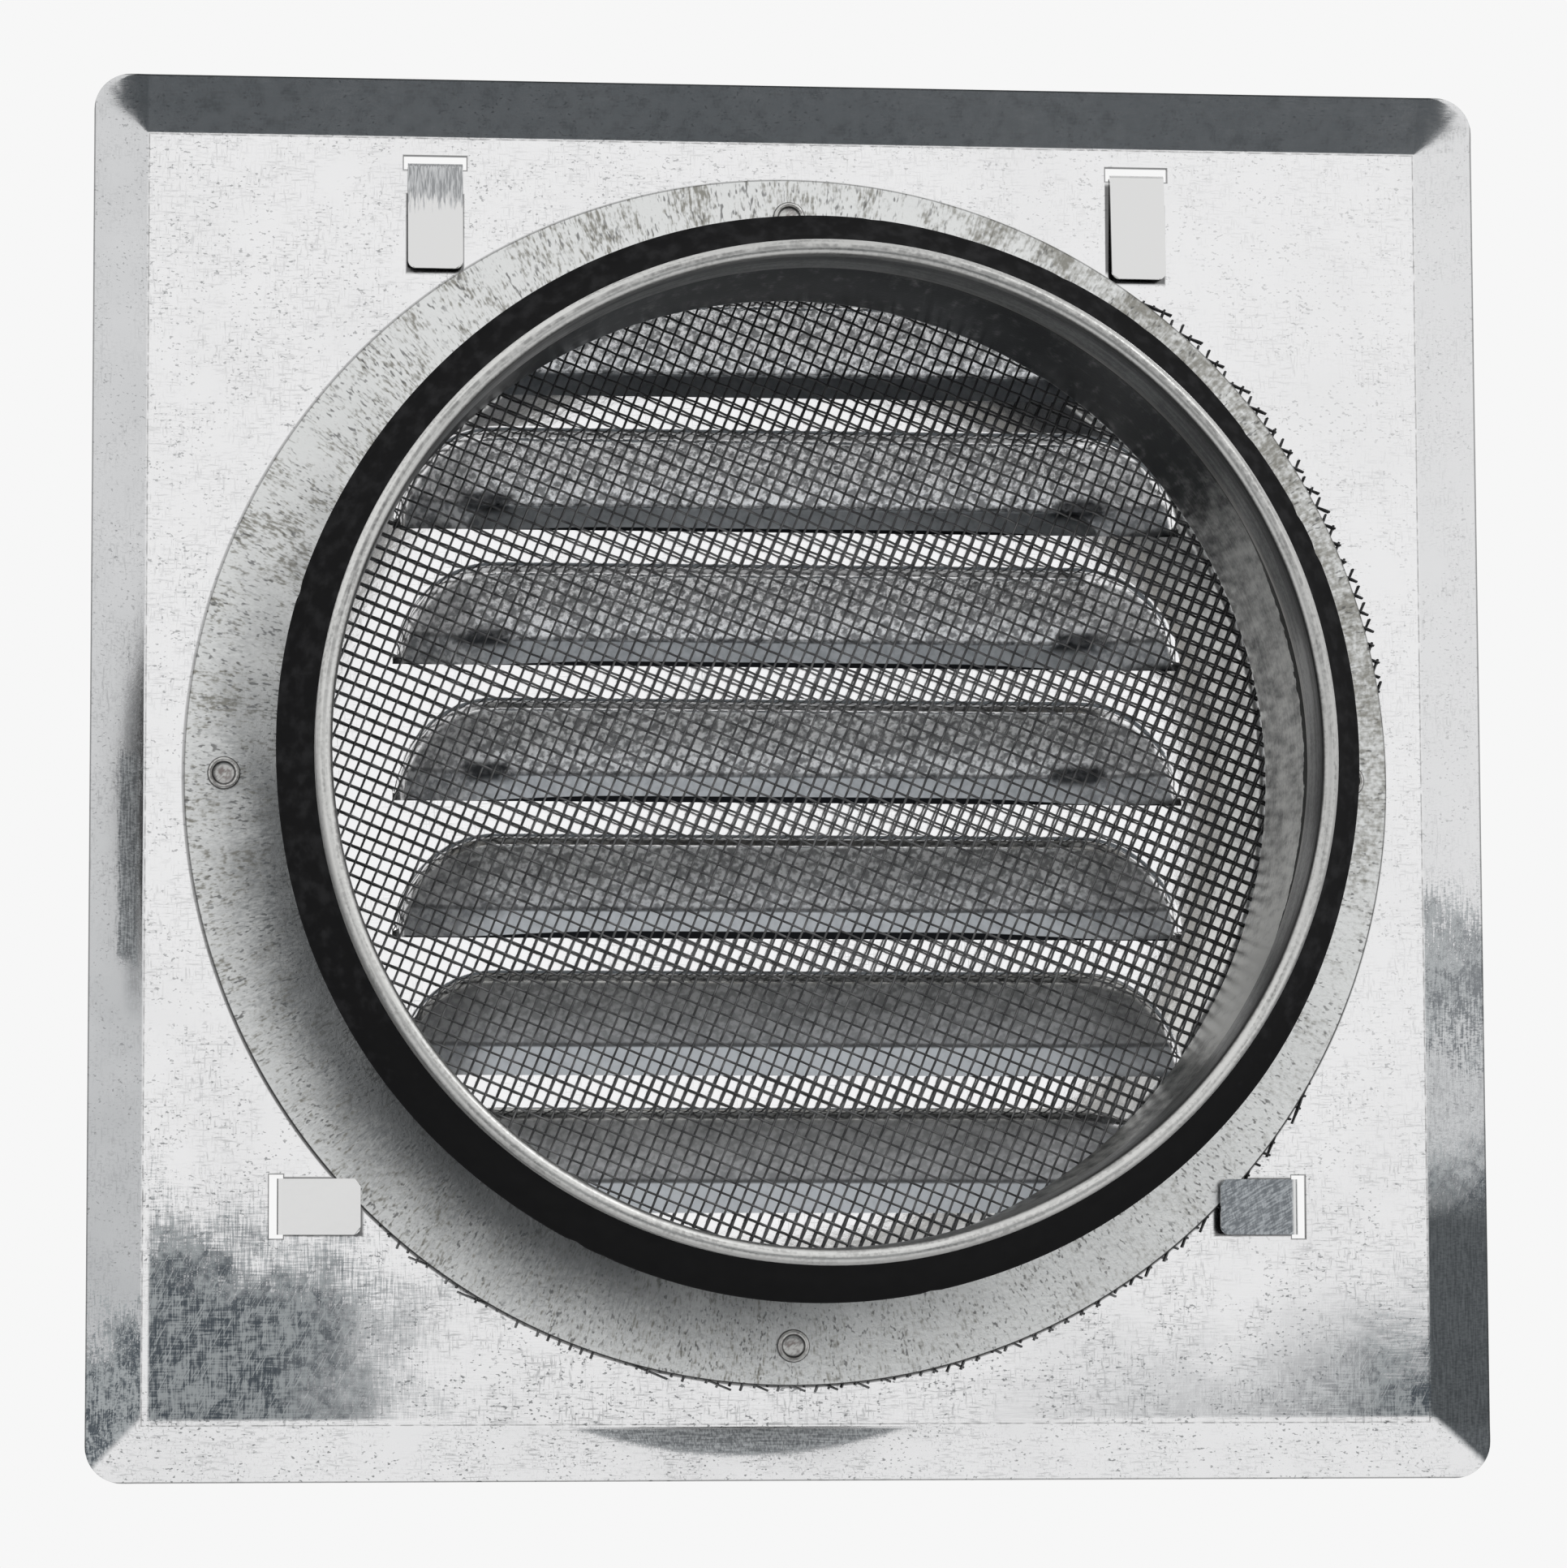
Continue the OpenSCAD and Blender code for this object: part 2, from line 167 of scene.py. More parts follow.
seen_floor = paint.node("ShaderNodeMixShader", None, {0: away, 1: pale, 2: white})
unseen = 1 - paint.node("ShaderNodeLightPath", output="Is Camera Ray")
seen_floor = paint.node("ShaderNodeMixShader", None, {0: unseen, 1: seen_floor, 2: clear})
paint.node("ShaderNodeOutputMaterial", None, {"Surface": seen_floor})
floor_mesh.materials.append(floor_paint)


# Base plate: one pressing of hot-dip galvanised sheet, 0.7 mm, with a sloping rim round a flat field.
# Its zinc has fine spangle, cross-hatched handling marks and cloudy dark patches near the lower corners.
def coat(name):
    """A new material, its first socket and the object coordinates in millimetres."""
    material = bpy.data.materials.new(name)
    material.use_nodes = True
    material.node_tree.nodes.clear()
    tree = Socket(material.node_tree)
    place = tree.node("ShaderNodeTexCoord", output="Object")
    place = tree.node("ShaderNodeVectorMath", {"operation": "SCALE"}, {0: place, "Scale": 1 / mm})
    return material, tree, place


def cloud(place, size, detail=3.0, stretch=(1.0, 1.0, 1.0), lay=0.0):
    """Noise whose marks are about size millimetres across, stretched, and turned on the sheet by lay degrees."""
    turned = place.node("ShaderNodeMapping", {"vector_type": "TEXTURE"},
                        {"Vector": place, "Rotation": (0.0, math.radians(lay), 0.0),
                         "Scale": tuple(size * s for s in stretch)})
    return place.node("ShaderNodeTexNoise", None, {"Vector": turned, "Scale": 1.0, "Detail": detail})


def hatch(place, length, width):
    """Fine marks that run level and, fewer of them, upright, 0 to 1."""
    level = cloud(place, width, 2.0, (length / width, 1.0, 1.0)).step(0.50, 0.72)
    upright = cloud(place, width, 2.0, (1.0, 1.0, length / width)).step(0.52, 0.74)
    return level.math("MAXIMUM", upright)


def within(value, low, high, soft):
    """1 between low and high, fading to 0 over soft on either side."""
    return value.step(low - soft, low + soft) * (1 - value.step(high - soft, high + soft))


def smooth_copy(node, name, sharp=34.0):
    """A merged copy of a CAD node's mesh with smooth bends, flat fields and crisp cut edges."""
    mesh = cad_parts[node].data.copy()
    mesh.name = name
    form = bmesh.new()
    form.from_mesh(mesh)
    bmesh.ops.remove_doubles(form, verts=form.verts, dist=0.002 * mm)
    for face in form.faces:
        face.smooth = True
    form.to_mesh(mesh)
    form.free()
    mesh.set_sharp_from_angle(angle=math.radians(sharp))
    piece = bpy.data.objects.new(name, mesh)
    bpy.context.scene.collection.objects.link(piece)
    weighting = piece.modifiers.new("flat_fields", "WEIGHTED_NORMAL")
    weighting.keep_sharp = True
    weighting.weight = 100
    return piece


plate_field = 106.0
rim_slope = 0.665
tongue_half = 4.55
tongue_x = 58.8
tongue_foot = 83.9
slot_z = 96.5
tongue_z = 70.6
lower_tip = 70.75
slot_x = 84.0
slot_half = 5.2
plate = smooth_copy("base_plate", "plate_sheet")
plate_zinc, tree, place = coat("plate_zinc")
across, depth, up = place.axes()
clouds = cloud(place, 26.0)
handled = 0.50 + across.step(-40.0, 50.0) * 0.30 + (1 - up.step(-100.0, -30.0)) * 0.60
marks = hatch(place, 1.9, 0.30) * cloud(place, 7.0, 4.0).step(0.34, 0.60) * (1 - up.step(106.0, 106.3))
specks = cloud(place, 0.42, 1.0, (1.7, 1.0, 1.0)).step(0.63, 0.72) * cloud(place, 6.0, 3.0).step(0.38, 0.56)
bright = (0.82, 0.82, 0.825, 1.0)
grey = (0.27, 0.275, 0.28, 1.0)
wear = clouds.step(0.45, 0.75) * 0.05 + (marks * 0.34 + specks * 0.80) * handled

level_brush = cloud(place, 0.27, 3.0, (12.0, 1.0, 1.0))
brush = cloud(place, 0.27, 3.0, (1.0, 1.0, 12.0)) + level_brush * 0.8
clouded = (cloud(place, 9.0, 5.0) - 0.5) * 26
ragged = clouded + (brush - 0.9) * 26
x_ragged, z_ragged = across + ragged, up - ragged
streaked = clouded * 0.8 + (level_brush - 0.5) * 22
left_bevel = across.step(106.0, 106.4) * (across + up).step(0.6, 2.6)
right_bevel = (1 - across.step(-106.4, -106.0)) * (up - across).step(0.6, 2.6)
bottom_bevel = 1 - up.step(-106.3, -106.0)
# The rim's slopes are painted darker as shade: most on the left bevel low down, less on the right and bottom bevels.
bevel_shade = left_bevel * (0.90 - up.step(-90.0, 40.0) * 0.35) + right_bevel * 0.25 + bottom_bevel * 0.15
bevel_shade = bevel_shade * (0.80 + cloud(place, 11.0) * 0.4)
colour = bevel_shade.blend(bright, (0.455, 0.465, 0.475, 1.0))
colour = wear.math("MINIMUM", 1.0).blend(colour, grey)
top_bevel = up.step(106.0, 106.3)
brushed_dark = (brush - 0.9) * 1.5 + (cloud(place, 2.6) - 0.5) * 1.8 + 0.16
colour = (top_bevel * brushed_dark.step(0.0, 1.0)).blend(colour, (0.52, 0.525, 0.53, 1.0))
inside_folds = (1 - across.step(104.6, 105.2)) * up.step(-105.4, -104.7)
patch_top = (z_ragged + (105.0 - across) * 0.42).step(-77.0, -63.0)
field_patch = x_ragged.step(54.0, 82.0).math("MINIMUM", 1 - patch_top) * inside_folds
left_foot = left_bevel * (1 - z_ragged.step(-93.0, -88.0))
right_foot = (1 - z_ragged.step(-27.0, -18.0)) * (0.78 - within(z_ragged, -61.0, -43.0, 4.0) * 0.40)
right_foot = right_bevel * right_foot.math("MAXIMUM", 1 - z_ragged.step(-71.0, -59.0))
right_haze = (1 - (across + streaked).step(-100.0, -74.0)) * (1 - (up - streaked).step(-102.0, -76.0)) * 0.50
right_haze = right_haze + (1 - (across + streaked).step(-72.0, -28.0)) * (1 - (up - streaked).step(-106.0, -84.0)) * 0.34
# The streak beside the left fold and the spot under the bottom fold are a painted reflection of the black seal.
beside_left_fold = within(across + (brush - 0.9) * 1.6, 107.0, 110.2, 0.5) * within(up + ragged * 0.3, -32.0, 3.5, 1.5)
beside_left_fold = beside_left_fold.math("MAXIMUM", within(across, 107.0, 109.0, 1.0) * within(up, -38.0, 13.0, 4.0) * 0.35)
off_middle = (across - 8.5) * (1 / 25.5)
under_fold = up + 107.2 + (1 - off_middle * off_middle) * 3.9 + (brush - 0.9) * 1.6
under_fold = under_fold.step(-0.3, 0.6) * (1 - up.step(-106.9, -106.5))
corner_shade = (1 - (across - (up + 104.0) * 0.3).step(-104.0, -95.0)) * (1 - z_ragged.step(-103.0, -88.0)) * up.step(-106.0, -103.5)
spangle = place.node("ShaderNodeTexVoronoi", None, {"Vector": place, "Scale": 0.40}, "Color").axes()[0]
blotches = cloud(place, 1.4) * 1.3 + cloud(place, 7.0, 3.0) * 0.9 + spangle * 0.30
scratched = cloud(place, 0.22, 2.0, (16.0, 1.0, 1.0), 62.0).step(0.58, 0.68) * 0.55
mottle = (brush * 1.8 + blotches + scratched - 2.87).step(-0.40, 0.42)
slate = mottle.blend((0.088, 0.103, 0.118, 1.0), (0.40, 0.425, 0.435, 1.0))
plain = (1 - up.step(-74.0, -64.0)) * right_bevel
brushed = (brush - 0.9).step(-0.30, 0.30)
slate = plain.blend(slate, brushed.blend((0.072, 0.079, 0.085, 1.0), (0.135, 0.146, 0.153, 1.0)))
seal_reflection = beside_left_fold * 0.80 + under_fold * 0.85
seal_reflection_tone = (brush - 0.9).step(-0.20, 0.24).blend((0.115, 0.128, 0.140, 1.0), (0.50, 0.525, 0.54, 1.0))
slate = seal_reflection.step(0.0, 0.4).blend(slate, seal_reflection_tone)
# The dark patches are tarnish and partly a painted reflection of dark surroundings; they turn the zinc slate.
tarnish_and_reflection = (field_patch + left_foot + right_foot + seal_reflection + (right_haze + corner_shade * 0.5) * inside_folds).math("MINIMUM", 1.0)
colour = tarnish_and_reflection.blend(colour, slate)
fold = across.math("ABSOLUTE").math("MAXIMUM", up.math("ABSOLUTE")) - plate_field
fold_line = (1 - fold.math("ABSOLUTE").step(0.03, 0.18)) * cloud(place, 2.0, 2.0).step(0.30, 0.60) * 0.55
cut_edge = fold.step(8.70, 8.86) * 0.6
around_flange = (across * across + up * up).math("SQRT").step(99.0, 99.1)
around_flange = around_flange * (1 - (across * across + up * up).math("SQRT").step(99.95, 100.25))
beside_upper = ((across.math("ABSOLUTE") - tongue_x).math("ABSOLUTE") - tongue_half).math("MAXIMUM", (tongue_foot - up) * 0.5)
beside_lower = (up + tongue_z).math("ABSOLUTE") - tongue_half
beside_lower = beside_lower.math("MAXIMUM", across.math("ABSOLUTE") - slot_x)
beside_lower = beside_lower.math("MAXIMUM", (lower_tip - across.math("ABSOLUTE")) * 0.5)
beside_tongue = 1 - beside_upper.math("MAXIMUM", up - slot_z).math("MINIMUM", beside_lower).step(0.10, 0.42)
upper_slot = ((across.math("ABSOLUTE") - tongue_x).math("ABSOLUTE") - slot_half).math("MAXIMUM", (up - 101.9).math("ABSOLUTE") - 1.15)
lower_slot = ((across.math("ABSOLUTE") - 84.4).math("ABSOLUTE") - 1.15).math("MAXIMUM", (up + tongue_z).math("ABSOLUTE") - slot_half)
slot_edge = 1 - upper_slot.math("MINIMUM", lower_slot).step(0.08, 0.26)
around_flange = around_flange * (0.85 - up.step(-60.0, 20.0) * 0.35)
# Dark lines painted as shade: beside and under the tongues, where the upper right tongue stands off, round the slots,
# round the flange's edge (stronger low down) and along the folds; the plate's outer edge is darkened too.
dirt_and_shade = fold_line.math("MAXIMUM", cut_edge).math("MAXIMUM", around_flange).math("MAXIMUM", beside_tongue * 0.85)
dirt_and_shade = dirt_and_shade.math("MAXIMUM", slot_edge * 0.75)
stands_off = within(across, -54.25, -53.50, 0.08) * within(up, tongue_foot + 1.2, 100.2, 0.5)
dirt_and_shade = dirt_and_shade.math("MAXIMUM", stands_off * 0.85)
colour = dirt_and_shade.blend(colour, (0.05, 0.05, 0.05, 1.0))
roughness = 0.10 + clouds * 0.08 + tarnish_and_reflection * 0.16 + marks * 0.1 + top_bevel * brushed * 0.07
slope = tree.node("ShaderNodeTexCoord", output="Normal")
slope = tree.node("ShaderNodeVectorMath", {"operation": "MULTIPLY"}, {0: slope, 1: (rim_slope, 1.0, rim_slope)})
slope = tree.node("ShaderNodeVectorMath", {"operation": "NORMALIZE"}, {0: slope})
slope = tree.node("ShaderNodeVectorTransform", {"vector_type": "NORMAL", "convert_from": "OBJECT", "convert_to": "WORLD"},
                  {"Vector": slope})
bump = tree.node("ShaderNodeBump", None,
                 {"Strength": 0.12, "Distance": 0.00005, "Height": level_brush, "Normal": slope})
zinc = tree.node("ShaderNodeBsdfPrincipled", None,
                 {"Base Color": colour, "Roughness": roughness, "Metallic": 1.0, "Normal": bump})
tree.node("ShaderNodeOutputMaterial", None, {"Surface": zinc})
plate.data.materials.clear()
plate.data.materials.append(plate_zinc)
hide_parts("base_plate")
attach(plate, "root")


# Louvre panel: flat galvanised sheet, 0.6 mm, with seven hoods pressed out of it towards the front.
# Four tongues cut with its outline pass through the plate and are folded over by hand.
louvre_pitch = 22.5
louvre_first_cut = 63.4
louvre_height = 17.35
louvre_lip = 5.3
lip_level = -11.9
lip_tilt = math.tan(math.radians(12.0))
panel = smooth_copy("louvre_panel", "panel_sheet")
for vertex in panel.data.vertices:
    above_cut = (vertex.co.z / mm - louvre_first_cut) % louvre_pitch
    if vertex.co.y / mm < lip_level and above_cut > louvre_pitch - 0.1:
        above_cut = 0.0
    if vertex.co.y / mm < lip_level and above_cut < louvre_lip:
        vertex.co.y += lip_tilt * (louvre_lip - above_cut) * mm

panel_zinc, tree, place = coat("panel_zinc")
across, depth, up = place.axes()
facing_wall = tree.node("ShaderNodeTexCoord", output="Normal").axes()[1]
inner = facing_wall.step(0.15, 0.35)
outer = 1 - facing_wall.step(-0.35, -0.15)
clouds = cloud(place, 18.0)
marks = hatch(place, 3.0, 0.24) * cloud(place, 9.0).step(0.44, 0.60) * (1 - depth.step(-4.05, -3.9))
colour = ((clouds - 0.5) * 0.4 + marks * 0.4).step(0.0, 1.0).blend((0.90, 0.90, 0.905, 1.0), (0.50, 0.505, 0.51, 1.0))
spangle = place.node("ShaderNodeTexVoronoi", None, {"Vector": place, "Scale": 0.22}, "Color").axes()[0]
front_zinc = (spangle * 0.6 + clouds * 0.4).blend((0.60, 0.61, 0.62, 1.0), (0.80, 0.81, 0.82, 1.0))
colour = (outer * 0.85).blend(colour, front_zinc)
tongue = depth.step(-4.05, -3.9)
colour = (tongue * 0.8).blend(colour, (0.66, 0.66, 0.655, 1.0))
above_cut = (up - louvre_first_cut).math("FLOORED_MODULO", louvre_pitch)
right_fan = (across * -1).step(52.0, 58.0)
hood = (1 - (depth - right_fan * 0.40).step(-5.9, -5.5)) * inner
lower_rows = 1 - up.step(-48.0, 52.0)
smooth_rows = 1 - up.step(-50.0, 4.0)
fan_ends = across.step(47.0, 55.0).math("MAXIMUM", (across * -1).step(45.0, 56.0) * 0.75)
# The hoods' inner faces get a crinkled dark and light colour, partly the zinc's crinkle and partly painted
# highlights and shade, calmer in the lower rows; their ends are painted darker as shade, the left ends most.
crinkled = cloud(place, 1.1).step(0.38, 0.62) * (1 - smooth_rows * 0.75) + cloud(place, 5.0) * (0.1 + smooth_rows * 0.30)
crinkle_and_sheen = crinkled.blend((0.19, 0.195, 0.20, 1.0), (0.96, 0.97, 0.98, 1.0))
fan_shade = crinkled.blend((0.13, 0.134, 0.138, 1.0), (0.42, 0.425, 0.43, 1.0))
crinkle_and_sheen = (fan_ends * 0.85).blend(crinkle_and_sheen, fan_shade)
colour = (hood * 0.9).blend(colour, crinkle_and_sheen)
lip = (1 - above_cut.step(louvre_lip - 0.5, louvre_lip + 0.1)) * hood
# The lips are painted bluish grey, dark in the upper rows and lighter in the lower rows, as shade.
lip_shade = (lower_rows + (cloud(place, 6.0) - 0.5) * 0.3 + (cloud(place, 1.4) - 0.5) * 0.9).blend((0.34, 0.365, 0.39, 1.0), (0.62, 0.655, 0.69, 1.0))
lip_shade = (fan_ends * 0.80).blend(lip_shade, fan_shade)
colour = (lip * 0.9).blend(colour, lip_shade)
ripples = cloud(place, 1.1, 3.0) * (hood * (1 - smooth_rows * 0.7) * (1 - fan_ends) + 0.1) * (1 - lip)
# Painted shade in each hood: dark spots at the crease's ends, fainter in the lower rows, a line along the
# crease, a black line just above the cut and a dark line in the bend at the hood's root.
crease = within(above_cut, louvre_lip - 1.4, louvre_lip + 1.8, 0.8) * hood
crease_ends = within(across.math("ABSOLUTE") + (cloud(place, 2.5) - 0.5) * 8, 45.5, 54.0, 1.8) * crease
crease_line = within(above_cut, louvre_lip - 0.35, louvre_lip + 0.35, 0.25) * hood * 0.6
under_edge = 1.62 - across.math("ABSOLUTE").step(28.0, 62.0) * 1.25
under_edge = within(above_cut - under_edge, -4.0, 0.0, 0.08) * hood * within(up, -28.0, 46.0, 1.0)
root_bend = within(depth, -5.50, -4.82, 0.12) * inner * (1 - tongue) * across.step(-56.0, -46.0) * (1 - fan_ends * 0.65)
colour = (root_bend * 0.70).blend(colour, (0.055, 0.057, 0.060, 1.0))
spot_rows = 0.12 + up.step(-32.0, 2.0) * 0.88
shade = (crease_ends * spot_rows * 0.92).math("MAXIMUM", crease_line).math("MAXIMUM", under_edge)
colour = shade.blend(colour, (0.012, 0.013, 0.015, 1.0))
lower_right = tongue * within(across, -83.3, -60.0, 0.3) * (1 - up.step(-62.0, -60.0))
combed = (cloud(place, 0.35, 2.0, (1.0, 1.0, 9.0)) - 0.5) * 8
upper_left = tongue * across.step(50.0, 52.0) * (up + combed).step(94.4, 96.4)
scratches = cloud(place, 0.30, 3.0, (9.0, 1.0, 1.0), 28.0) + cloud(place, 0.30, 2.0, (1.0, 1.0, 5.0), 12.0) * 0.5
dull = (scratches - 0.75).step(-0.16, 0.22).blend((0.11, 0.125, 0.14, 1.0), (0.34, 0.365, 0.385, 1.0))
colour = (lower_right * 0.93).blend(colour, dull)
pulled = cloud(place, 0.22, 3.0, (1.0, 1.0, 14.0)).step(0.35, 0.65).blend((0.20, 0.21, 0.22, 1.0), (0.52, 0.53, 0.54, 1.0))
colour = (upper_left * 0.85).blend(colour, pulled)
bump = tree.node("ShaderNodeBump", None, {"Strength": 1.0, "Distance": 0.00024, "Height": ripples})
zinc = tree.node("ShaderNodeBsdfPrincipled", None,
                 {"Base Color": colour, "Roughness": 0.08 + clouds * 0.10 + (hood - lip) * (0.10 + lower_rows * 0.28) + lip * 0.26, "Metallic": 1.0, "Normal": bump})
tree.node("ShaderNodeOutputMaterial", None, {"Surface": zinc})
panel.data.materials.clear()
panel.data.materials.append(panel_zinc)
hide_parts("louvre_panel")
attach(panel, "root")


# Insect mesh: plain weave of dull steel wire, clamped between plate and flange. The shallow and the
# steep wires pass over and under each other, bulge a little in the middle and end in cut stubs.
mesh_angle = 22.4
wire_diameter = 0.40 * mm
steep_pitch = 1.90 * mm
shallow_pitch = 2.25 * mm
mesh_level = -3.65 * mm
hole_radius = 81.0 * mm
flange_radius = 99.75 * mm

weave = bpy.data.node_groups.new("wire_layer", "GeometryNodeTree")
for label in ("Pitch", "Crossing", "Wire", "Angle", "Level", "Bulge", "Hole", "Flange", "Parity", "Wires", "Crossings"):
    kind = "NodeSocketInt" if label in ("Wires", "Crossings") else "NodeSocketFloat"
    weave.interface.new_socket(name=label, in_out="INPUT", socket_type=kind)
weave.interface.new_socket(name="Wires made", in_out="OUTPUT", socket_type="NodeSocketGeometry")
given = weave.nodes.new("NodeGroupInput")
size = {output.name: Socket(weave, output) for output in given.outputs if output.name}
line = Socket(weave).node("GeometryNodeCurvePrimitiveLine")
line = line.node("GeometryNodeResampleCurve", None, {"Curve": line, "Count": size["Crossings"] * 2})
copies = line.node("GeometryNodeDuplicateElements", {"domain": "SPLINE"}, {"Geometry": line, "Amount": size["Wires"]})
number = Socket(weave, copies.output.node.outputs["Duplicate Index"]) - (size["Wires"] - 1) * 0.5
step_index = line.node("GeometryNodeSplineParameter", output="Index")
half = step_index.math("MODULO", 2.0)
crossing = (step_index - half) * 0.5 - (size["Crossings"] - 1) * 0.5
along = (crossing + (half - 0.5) * 0.46) * size["Crossing"]
over_under = (number + crossing + size["Parity"]).math("FLOORED_MODULO", 2.0).math("GREATER_THAN", 0.5) * 2 - 1
sway = line.node("ShaderNodeCombineXYZ", None, {0: along * 40, 1: number * 0.31, 2: size["Parity"] * 3})
sway = (line.node("ShaderNodeTexNoise", None, {"Vector": sway, "Scale": 1.0, "Detail": 1.0}) - 0.5) * (0.45 * mm)
side = number * size["Pitch"] + sway
reach = (along * along + side * side).math("SQRT")
middle = 1 - reach.step(0.0, 80 * mm)
height = size["Level"] + over_under * size["Wire"] * 0.38 + middle * size["Bulge"]
cos, sin = size["Angle"].math("COSINE"), size["Angle"].math("SINE")
spot = line.node("ShaderNodeCombineXYZ", None, {0: along * cos - side * sin, 1: height, 2: along * sin + side * cos})
laid = line.node("GeometryNodeSetPosition", None, {"Geometry": copies, "Position": spot})
here = line.node("GeometryNodeInputPosition")
here_x, here_y, here_z = here.axes()
reach = (here_x * here_x + here_z * here_z).math("SQRT")
round_angle = here_z.math("ARCTAN2", here_x)
frayed_low = (round_angle + 1.75).math("ABSOLUTE")
frayed_low = 1 - frayed_low.step(0.85, 1.05)
frayed_side = (round_angle - 2.59).math("ABSOLUTE")
frayed_side = 1 - frayed_side.step(0.36, 0.46)
fray = line.node("ShaderNodeTexNoise", None, {"Vector": here, "Scale": 260.0, "Detail": 2.0})
end = size["Flange"] - 0.6 * mm + frayed_low * (1.1 * mm + fray * (1.4 * mm)) + frayed_side * (1.5 * mm + fray * (1.8 * mm))
outside = reach.math("GREATER_THAN", end)
hidden = reach.math("GREATER_THAN", size["Hole"]) * reach.math("LESS_THAN", size["Flange"] - 1.5 * mm)
kept = line.node("GeometryNodeDeleteGeometry", {"domain": "POINT"}, {"Geometry": laid, "Selection": outside.math("MAXIMUM", hidden)})
points = line.node("GeometryNodeSplineLength", output="Point Count")
kept = line.node("GeometryNodeDeleteGeometry", {"domain": "CURVE"}, {"Geometry": kept, "Selection": points.math("LESS_THAN", 1.5)})
section = line.node("GeometryNodeCurvePrimitiveCircle", None, {"Resolution": 6, "Radius": size["Wire"] * 0.5})
wires = line.node("GeometryNodeCurveToMesh", None, {"Curve": kept, "Profile Curve": section, "Fill Caps": True})
wires = line.node("GeometryNodeSetShadeSmooth", None, {"Geometry": wires})
wires = line.node("GeometryNodeRealizeInstances", None, {"Geometry": wires})

wire_steel, tree, place = coat("wire_steel")
dirt_and_shade = cloud(place, 3.0, 2.0)
across, depth, up = place.axes()
# The wires are painted darker near the spigot's top and right side, as shade.
near_wall = up.step(52.0, 66.0).math("MAXIMUM", 1 - across.step(-74.0, -56.0))
colour = dirt_and_shade.step(0.35, 0.7).blend((0.075, 0.076, 0.078, 1.0), (0.20, 0.202, 0.205, 1.0))
colour = (near_wall * 0.75).blend(colour, (0.015, 0.015, 0.016, 1.0))
steel = tree.node("ShaderNodeBsdfPrincipled", None,
                  {"Base Color": colour, "Roughness": 0.36 + dirt_and_shade * 0.12, "Metallic": 0.75})
tree.node("ShaderNodeOutputMaterial", None, {"Surface": steel})
wires = line.node("GeometryNodeSetMaterial", None, {"Geometry": wires, "Material": wire_steel})
line.node("NodeGroupOutput", None, {0: wires})

layers = (("shallow_wires", shallow_pitch, steep_pitch, mesh_angle, 0.0, 91, 107),
          ("steep_wires", steep_pitch, shallow_pitch, mesh_angle + 90, 1.0, 107, 91))
for name, pitch, crossing_pitch, angle, parity, wires_laid, crossings in layers:
    carrier = bpy.data.objects.new(name + "_carrier", bpy.data.meshes.new(name + "_carrier"))
    bpy.context.scene.collection.objects.link(carrier)
    maker = carrier.modifiers.new("weave", "NODES")
    maker.node_group = weave
    sizes = {"Pitch": pitch, "Crossing": crossing_pitch, "Wire": wire_diameter, "Angle": math.radians(angle),
             "Level": mesh_level, "Bulge": 1.2 * mm, "Hole": hole_radius, "Flange": flange_radius, "Parity": parity,
             "Wires": wires_laid, "Crossings": crossings}
    for item in weave.interface.items_tree:
        if item.in_out == "INPUT":
            maker[item.identifier] = sizes[item.name]
    made = carrier.evaluated_get(bpy.context.evaluated_depsgraph_get())
    layer = bpy.data.objects.new(name, bpy.data.meshes.new_from_object(made))
    bpy.context.scene.collection.objects.link(layer)
    bpy.data.objects.remove(carrier)
    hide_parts("insect_mesh")
    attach(layer, "root")


# Collar: flange and spigot spun from one galvanised sheet, 0.6 mm, waisted for the seal, with its free
# edge rolled back over the seal's strap. The flange keeps slanting rolling streaks of the sheet.
flange_seat = -3.30 * mm
collar_sheet = 0.6 * mm
spigot_wall = 79.45 * mm
seat_wall = 77.40 * mm
spigot_length = 50 * mm


def bent(path, steps=7):
    """Points and left-hand normals along a line of (r, s, bend radius) corners, with its bends as arcs."""
    made = []
    for k, (r, s, radius) in enumerate(path):
        here = Vector((r, s))
        before = (here - Vector(path[k - 1][:2])).normalized() if k else None
        after = (Vector(path[k + 1][:2]) - here).normalized() if k + 1 < len(path) else None
        if before is None or after is None:
            run = before or after
            made.append((here, Vector((-run.y, run.x))))
            continue
        turn = math.atan2(before.x * after.y - before.y * after.x, before.dot(after))
        left = Vector((-before.y, before.x))
        hand = math.copysign(1.0, turn)
        centre = here - before * radius * math.tan(abs(turn) / 2) + left * hand * radius
        for n in range(steps + 1):
            a = turn * n / steps
            normal = Vector((left.x * math.cos(a) - left.y * math.sin(a), left.x * math.sin(a) + left.y * math.cos(a)))
            made.append((centre - normal * hand * radius, normal))
    return made


